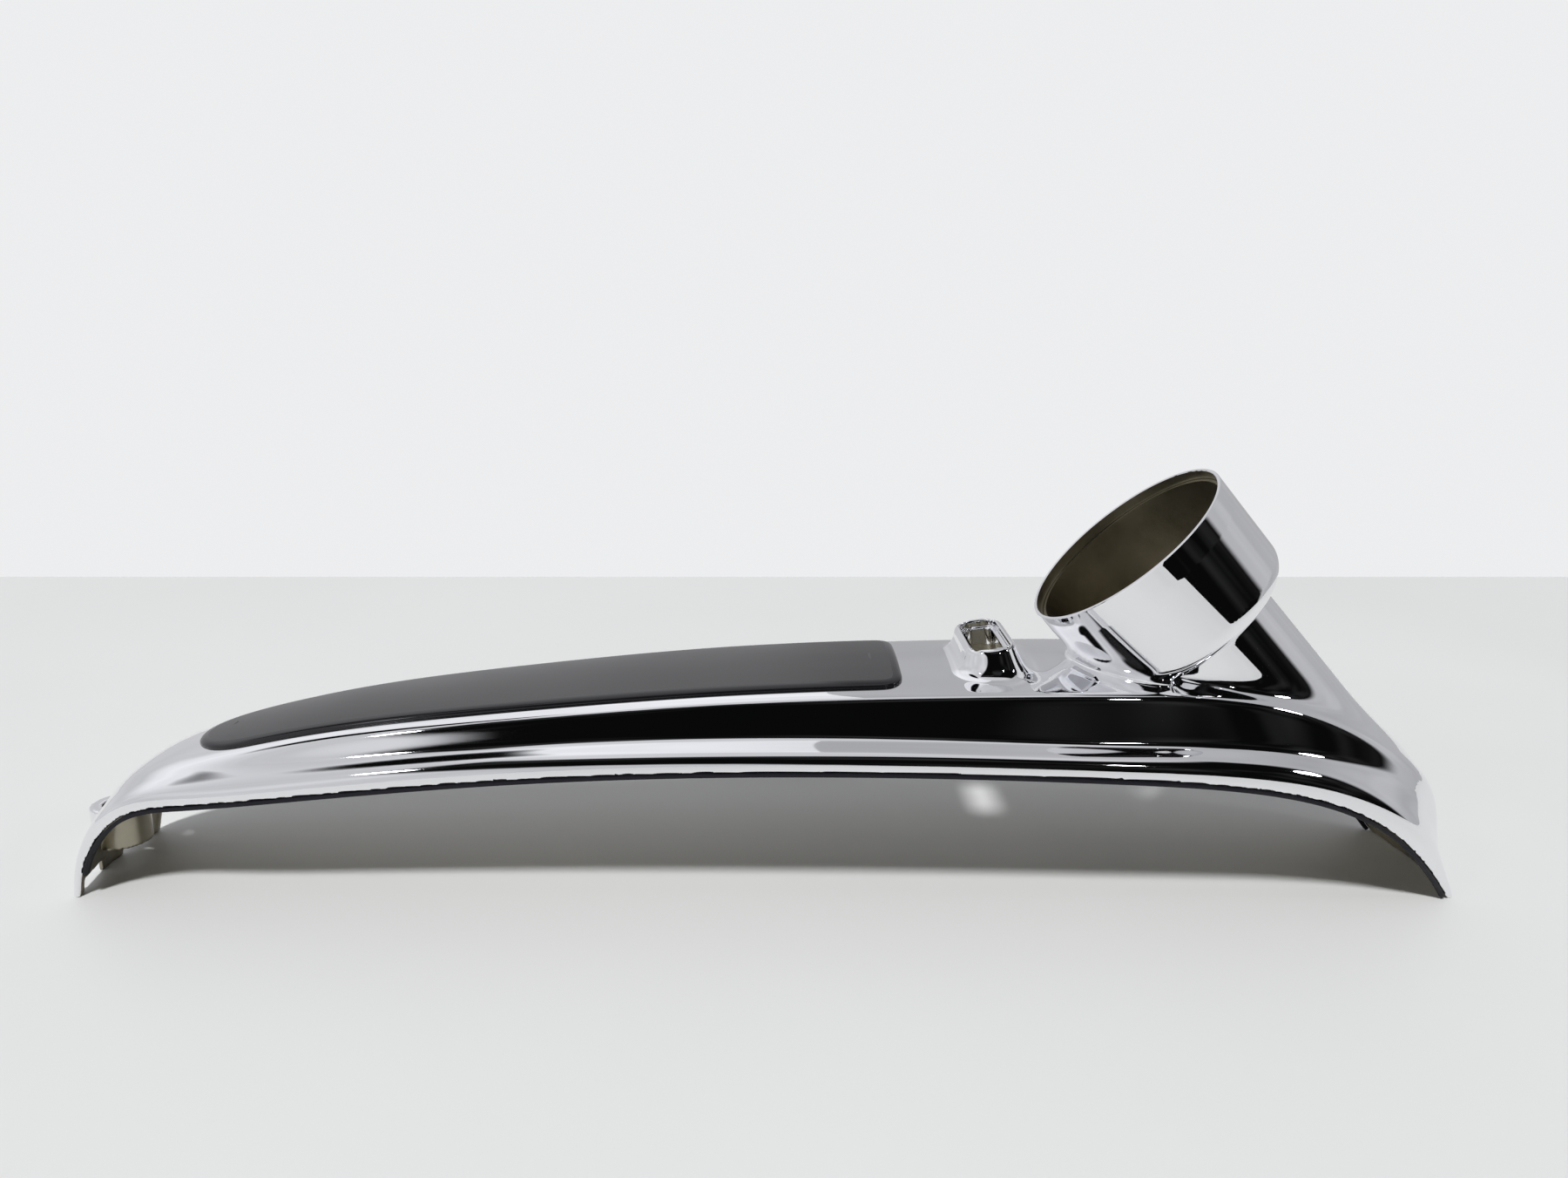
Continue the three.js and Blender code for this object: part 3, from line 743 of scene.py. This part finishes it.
def build_trim(side, name, node, rubber):
    marks = np.linspace(0, arch_end, 1200)
    height = arch.at(marks)[:, 1]
    rising = height > TRIM_LOWEST
    rising |= (marks > arch_end / 2) & (height > 0.6)
    marks = np.linspace(marks[rising][0], marks[rising][-1], 460)
    size = sizes.at(marks)
    outer = size[:, 0] + (TRIM_WIDTH - WALL) / 2
    outline = trim_outline()
    rings = [on_arch(marks, side * (outer + y), np.full(len(marks), h)) for y, h in outline]
    rings = np.stack(rings, 1)
    length, around, _ = rings.shape
    faces = []
    for k in range(length - 1):
        for i in range(around):
            j = (i + 1) % around
            face = [k * around + i, k * around + j, (k + 1) * around + j, (k + 1) * around + i]
            faces.append(face[::side])
    start = list(range(around))
    end = [(length - 1) * around + i for i in range(around)]
    faces += [start[::-side], end[::side]]
    slots = np.zeros(len(faces))
    new_piece(name, rings.reshape(-1, 3), faces, None, [rubber], slots, "edge_rubber", node)


# ---- Materials ------------------------------------------------------------------------------------
class Nodes:
    """Small helper for wiring one material."""

    def __init__(self, name, **values):
        self.material = bpy.data.materials.new(name)
        self.material.use_nodes = True
        self.tree = self.material.node_tree
        self.shader = self.tree.nodes["Principled BSDF"]
        for key, value in values.items():
            self.shader.inputs[key.replace("_", " ")].default_value = value
        self.place = self.tree.nodes.new("ShaderNodeTexCoord").outputs["Object"]

    def link(self, out, into):
        self.tree.links.new(out, into)

    def noise(self, scale, detail=3.0, stretch=(1, 1, 1)):
        mapping = self.tree.nodes.new("ShaderNodeMapping")
        mapping.inputs["Scale"].default_value = stretch
        self.link(self.place, mapping.inputs["Vector"])
        texture = self.tree.nodes.new("ShaderNodeTexNoise")
        texture.inputs["Scale"].default_value = scale
        texture.inputs["Detail"].default_value = detail
        self.link(mapping.outputs["Vector"], texture.inputs["Vector"])
        return texture.outputs["Fac"]

    def specks(self, scale, size):
        """1 inside small round specks, 0 elsewhere."""
        texture = self.tree.nodes.new("ShaderNodeTexVoronoi")
        texture.inputs["Scale"].default_value = scale
        self.link(self.place, texture.inputs["Vector"])
        return self.ranged(texture.outputs["Distance"], size, size * 0.5, 0.0, 1.0)

    def ranged(self, value, low, high, out_low, out_high):
        node = self.tree.nodes.new("ShaderNodeMapRange")
        for key, number in (("From Min", low), ("From Max", high), ("To Min", out_low), ("To Max", out_high)):
            node.inputs[key].default_value = number
        self.link(value, node.inputs["Value"])
        return node.outputs["Result"]

    def math(self, operation, a, b):
        node = self.tree.nodes.new("ShaderNodeMath")
        node.operation = operation
        for socket, value in zip(node.inputs, (a, b)):
            if isinstance(value, (int, float)):
                socket.default_value = value
            else:
                self.link(value, socket)
        return node.outputs["Value"]

    def blend(self, factor, dark, light):
        node = self.tree.nodes.new("ShaderNodeMix")
        node.data_type = "RGBA"
        node.inputs["A"].default_value = (*dark, 1)
        node.inputs["B"].default_value = (*light, 1)
        self.link(factor, node.inputs["Factor"])
        return node.outputs["Result"]

    def bump(self, height, distance, strength=1.0):
        node = self.tree.nodes.new("ShaderNodeBump")
        node.inputs["Distance"].default_value = distance
        node.inputs["Strength"].default_value = strength
        self.link(height, node.inputs["Height"])
        self.link(node.outputs["Normal"], self.shader.inputs["Normal"])


def chrome_plate():
    """Bright plating with a faint ripple, haze patches and a few dried specks."""
    m = Nodes("chrome_plate", Metallic=1.0, Roughness=0.03)
    haze = m.noise(14.0, 4.0)
    dust = m.math("MULTIPLY", m.specks(330.0, 0.09), m.ranged(m.noise(9.0), 0.60, 0.70, 0.0, 1.0))
    m.link(m.blend(haze, (0.86, 0.865, 0.885), (0.93, 0.93, 0.945)), m.shader.inputs["Base Color"])
    base = m.ranged(haze, 0.35, 0.75, 0.02, 0.06)
    m.link(m.math("ADD", base, m.math("MULTIPLY", dust, 0.12)), m.shader.inputs["Roughness"])
    m.bump(m.noise(26.0, 1.0), 0.00002)
    return m.material


def bare_casting():
    """Dull unplated metal inside: mottled, olive brown, slightly rough."""
    m = Nodes("bare_casting", Metallic=1.0, Roughness=0.35)
    patches = m.noise(16.0, 6.0)
    m.link(m.blend(m.ranged(patches, 0.35, 0.65, 0, 1), (0.26, 0.24, 0.185), (0.56, 0.52, 0.42)),
           m.shader.inputs["Base Color"])
    m.link(m.ranged(patches, 0.3, 0.7, 0.24, 0.42), m.shader.inputs["Roughness"])
    m.bump(m.noise(420.0, 3.0), 0.0001, 0.6)
    return m.material


def inlay_satin():
    """Satin dark plastic with faint lengthwise brushing and wear."""
    m = Nodes("inlay_satin", Roughness=0.36)
    streaks = m.noise(60.0, 4.0, (0.06, 1, 1))
    wear = m.noise(7.0, 5.0)
    m.link(m.blend(streaks, (0.022, 0.022, 0.023), (0.042, 0.042, 0.042)), m.shader.inputs["Base Color"])
    m.link(m.math("ADD", m.ranged(wear, 0.3, 0.7, 0.26, 0.36), m.math("MULTIPLY", streaks, 0.06)),
           m.shader.inputs["Roughness"])
    m.bump(streaks, 0.00003)
    return m.material


def inlay_edge_gloss_painted_shade():
    """The inlay's polished rounded edge; the low roughness is its polish, and its colour, darker than the
    top's plastic, is painted shade.
    """
    m = Nodes("inlay_edge_gloss_painted_shade", Roughness=0.10)
    patches = m.noise(40.0, 3.0)
    # Painted shade: the edge's colour is darker than the top's plastic to stand for the dark its rounded side
    # shows.
    m.link(m.blend(patches, (0.005, 0.005, 0.006), (0.010, 0.010, 0.012)), m.shader.inputs["Base Color"])
    m.link(m.ranged(patches, 0.3, 0.7, 0.07, 0.14), m.shader.inputs["Roughness"])
    m.bump(patches, 0.00002)
    return m.material


def edge_rubber():
    """Black moulded rubber, a little dusty."""
    m = Nodes("edge_rubber", Roughness=0.5, Specular_IOR_Level=0.25)
    dust = m.noise(90.0, 5.0)
    m.link(m.blend(dust, (0.003, 0.003, 0.006), (0.012, 0.012, 0.016)), m.shader.inputs["Base Color"])
    m.link(m.ranged(dust, 0.3, 0.7, 0.38, 0.62), m.shader.inputs["Roughness"])
    m.bump(m.noise(900.0, 2.0), 0.00004)
    return m.material


def table_paint():
    """Pale painted table top, faintly uneven."""
    m = Nodes("table_paint", Roughness=0.5)
    cloud = m.noise(2.2, 4.0)
    m.link(m.blend(cloud, (0.735, 0.745, 0.735), (0.80, 0.805, 0.80)), m.shader.inputs["Base Color"])
    m.link(m.ranged(cloud, 0.3, 0.7, 0.42, 0.55), m.shader.inputs["Roughness"])
    m.bump(m.noise(160.0, 3.0), 0.00006, 0.5)
    return m.material


# ---- Studio ---------------------------------------------------------------------------------------
WALL_GLOW = 0.62
FILL_SHARE = 0.55  # how much of the wall's glow lights the matt surfaces
FLOOR_HALF_WIDTH = 4
FLOOR_NEAR_Y = -1.3
FLOOR_FAR_Y = 0.648


def add_floor():
    mesh = bpy.data.meshes.new("floor")
    corners = [(-1, FLOOR_NEAR_Y), (1, FLOOR_NEAR_Y), (1, FLOOR_FAR_Y), (-1, FLOOR_FAR_Y)]
    mesh.from_pydata([(side * FLOOR_HALF_WIDTH, y, 0) for side, y in corners], [], [(0, 1, 2, 3)])
    mesh.materials.append(table_paint())
    floor = bpy.data.objects.new("floor", mesh)
    bpy.context.collection.objects.link(floor)


def add_lamp(name, place, aim, size, watts, colour=(1, 1, 1)):
    data = bpy.data.lights.new(name, "AREA")
    data.shape = "DISK"
    data.size = size
    data.energy = watts
    data.color = colour
    lamp = bpy.data.objects.new(name, data)
    lamp.location = place
    direction = np.array(aim) - np.array(place)
    yaw = math.atan2(direction[1], direction[0])
    pitch = math.atan2(math.hypot(direction[0], direction[1]), -direction[2])
    lamp.rotation_euler = (pitch, 0, yaw - math.pi / 2)
    bpy.context.collection.objects.link(lamp)


def add_world():
    """Pale wall towards +Y and overhead, and a dim room behind the viewer for the chrome to mirror."""
    world = bpy.data.worlds.new("studio")
    world.use_nodes = True
    bpy.context.scene.world = world
    tree = world.node_tree
    tree.nodes.clear()

    def math_node(operation, a, b):
        node = tree.nodes.new("ShaderNodeMath")
        node.operation = operation
        for socket, value in zip(node.inputs, (a, b)):
            if isinstance(value, (int, float)):
                socket.default_value = value
            else:
                tree.links.new(value, socket)
        return node.outputs["Value"]

    def soft_step(value, low, high):
        node = tree.nodes.new("ShaderNodeMapRange")
        node.interpolation_type = "SMOOTHSTEP"
        node.inputs["From Min"].default_value = low
        node.inputs["From Max"].default_value = high
        tree.links.new(value, node.inputs["Value"])
        return node.outputs["Result"]

    direction = tree.nodes.new("ShaderNodeTexCoord").outputs["Generated"]
    split = tree.nodes.new("ShaderNodeSeparateXYZ")
    tree.links.new(direction, split.inputs["Vector"])
    x, y, z = split.outputs
    degree = 180 / math.pi
    side = math_node("MULTIPLY", math_node("ARCTAN2", x, math_node("MULTIPLY", y, -1.0)), degree)
    rise = math_node("MULTIPLY", math_node("ARCSINE", z, 0.0), degree)

    # The dim room is a block of directions behind the viewer, between two rises and two sides.
    side_back = math_node("MULTIPLY", side, -1.0)
    rise_back = math_node("MULTIPLY", rise, -1.0)
    dark = math_node("MULTIPLY", soft_step(rise, -24, -18), soft_step(rise_back, -67, -62))
    dark = math_node("MULTIPLY", dark, soft_step(math_node("ADD", side, rise), -6, 2))
    dark = math_node("MULTIPLY", dark, soft_step(side_back, -83, -75))

    # A smaller dim oval stands high on the tail's side.
    off_side = math_node("MULTIPLY", math_node("ADD", side, 103.0), 0.7)
    off_rise = math_node("ADD", rise, -58.0)
    off_side_squared = math_node("MULTIPLY", off_side, off_side)
    off = math_node("ADD", off_side_squared, math_node("MULTIPLY", off_rise, off_rise))
    hood = soft_step(math_node("MULTIPLY", off, -1.0), -200, -90)
    dark = math_node("MAXIMUM", dark, hood)

    # The wall is a little dimmer towards the nose and brighter high on the tail's side.
    right = math_node("MULTIPLY", soft_step(side, 50, 95), -0.16)
    left = math_node("MULTIPLY", soft_step(side_back, 70, 110), soft_step(rise, 20, 40))
    glow = math_node("ADD", math_node("ADD", right, math_node("MULTIPLY", left, 0.25)), WALL_GLOW)
    clutter = tree.nodes.new("ShaderNodeTexNoise")
    clutter.inputs["Scale"].default_value = 2.2
    clutter.inputs["Detail"].default_value = 2.0
    tree.links.new(direction, clutter.inputs["Vector"])
    patches = clutter.outputs["Fac"]
    glow = math_node("MULTIPLY", glow, math_node("ADD", 0.72, math_node("MULTIPLY", patches, 0.56)))
    bright = math_node("MULTIPLY", math_node("SUBTRACT", 1.0, dark), glow)
    room = math_node("ADD", math_node("MULTIPLY", soft_step(patches, 0.52, 0.7), 0.02), 0.003)
    strength = math_node("ADD", bright, room)

    eye = tree.nodes.new("ShaderNodeLightPath").outputs
    fill = math_node("SUBTRACT", 1.0, math_node("MULTIPLY", eye["Is Diffuse Ray"], 1.0 - FILL_SHARE))
    lit = tree.nodes.new("ShaderNodeBackground")
    lit.inputs["Color"].default_value = (0.985, 0.99, 1.02, 1)
    tree.links.new(math_node("MULTIPLY", strength, fill), lit.inputs["Strength"])
    seen = tree.nodes.new("ShaderNodeBackground")
    seen.inputs["Color"].default_value = (0.845, 0.85, 0.86, 1)
    mix = tree.nodes.new("ShaderNodeMixShader")
    tree.links.new(eye["Is Camera Ray"], mix.inputs["Fac"])
    tree.links.new(lit.outputs["Background"], mix.inputs[1])
    tree.links.new(seen.outputs["Background"], mix.inputs[2])
    output = tree.nodes.new("ShaderNodeOutputWorld")
    tree.links.new(mix.outputs["Shader"], output.inputs["Surface"])


def add_sun():
    """Soft overhead light that the chrome doesn't mirror."""
    sun = bpy.data.lights.new("overhead", "SUN")
    sun.energy = 2.85
    sun.angle = math.radians(7)
    overhead = bpy.data.objects.new("overhead", sun)
    overhead.rotation_euler = (math.radians(36), math.radians(-8), 0)
    overhead.visible_glossy = False
    bpy.context.collection.objects.link(overhead)


def add_studio():
    add_floor()
    add_world()
    add_sun()
    add_lamp("lamp_left", (-0.99, -0.76, 1.25), (0, 0, 0.05), 0.13, 0.7, (0.93, 0.95, 1.0))
    add_lamp("lamp_right", (1.33, -0.45, 1.02), (0.1, 0, 0.05), 0.22, 1.2, (0.95, 0.94, 1.0))
    add_lamp("lamp_far", (0.76, -1.54, 1.28), (0.1, 0, 0.05), 0.10, 0.5)
    bpy.context.scene.view_settings.view_transform = "Standard"


# ---- Assembly -------------------------------------------------------------------------------------
add_camera()
add_studio()
build_shell(chrome_plate(), bare_casting())
build_inlay(inlay_satin(), inlay_edge_gloss_painted_shade())
rubber = edge_rubber()
build_trim(-1, "edge_strip_right", "edge_trim_right", rubber)
build_trim(1, "edge_strip_left", "edge_trim_left", rubber)
